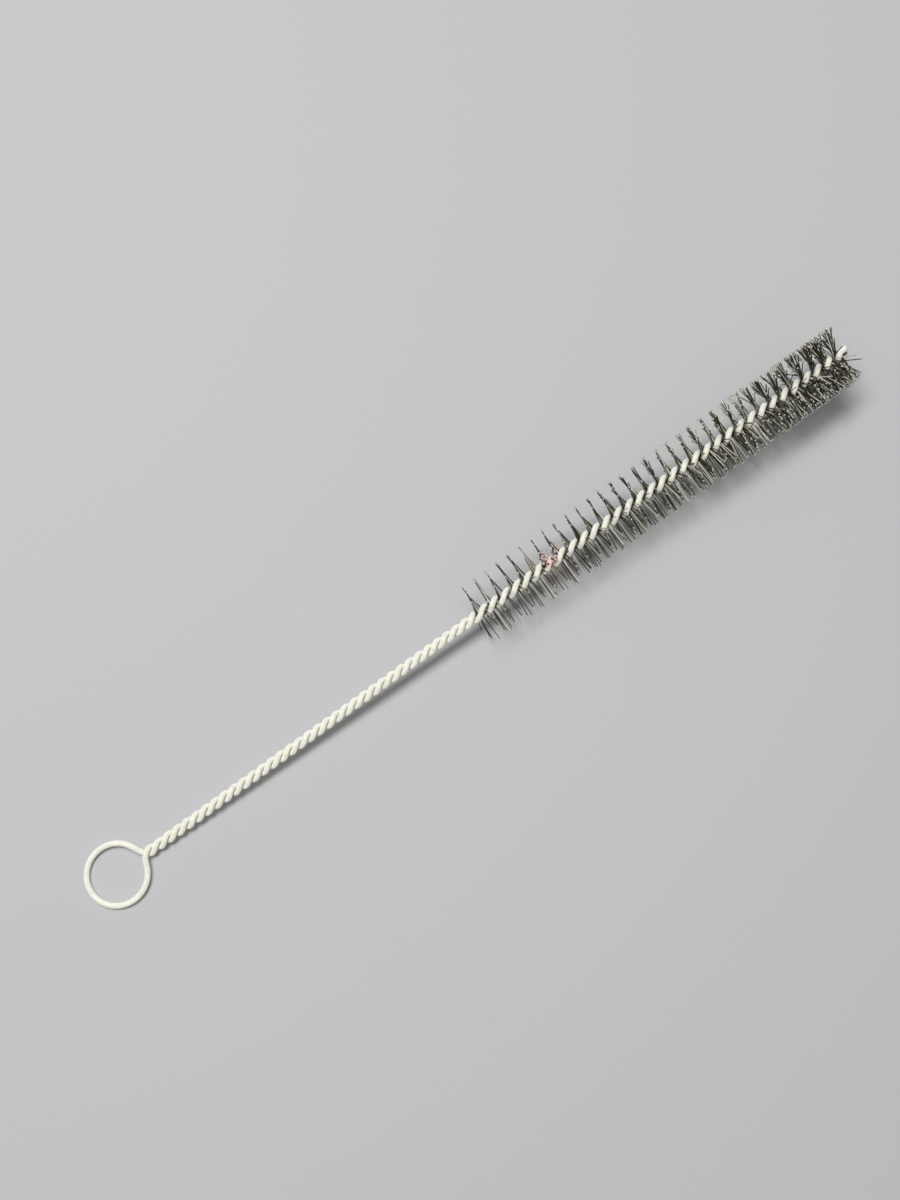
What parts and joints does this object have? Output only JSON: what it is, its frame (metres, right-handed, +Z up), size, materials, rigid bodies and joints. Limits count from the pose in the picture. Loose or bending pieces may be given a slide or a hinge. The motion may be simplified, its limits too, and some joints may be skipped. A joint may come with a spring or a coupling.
{
  "type": "test tube brush",
  "caption": "Twisted-wire test tube brush with a round finger loop, a bare twisted stem and a cylinder of fine black nylon filaments gripped between the strands up to the tip.",
  "frame": {"origin": "centre of the bounding box, at the surface that the brush rests on", "axes": "+X from the finger loop towards the cut tip, +Z up; the wire rises towards the tip because the filaments hold it off the surface"},
  "size_m": [0.1597, 0.0116, 0.0153],
  "materials": {
    "galvanised_wire": "drawn steel wire with a thin dull zinc coat",
    "nylon_filament": "extruded black nylon, smooth with a narrow shine"
  },
  "bodies": {
    "root": {"wire": "galvanised_wire", "bristles": "nylon_filament"}
  },
  "joints": []
}
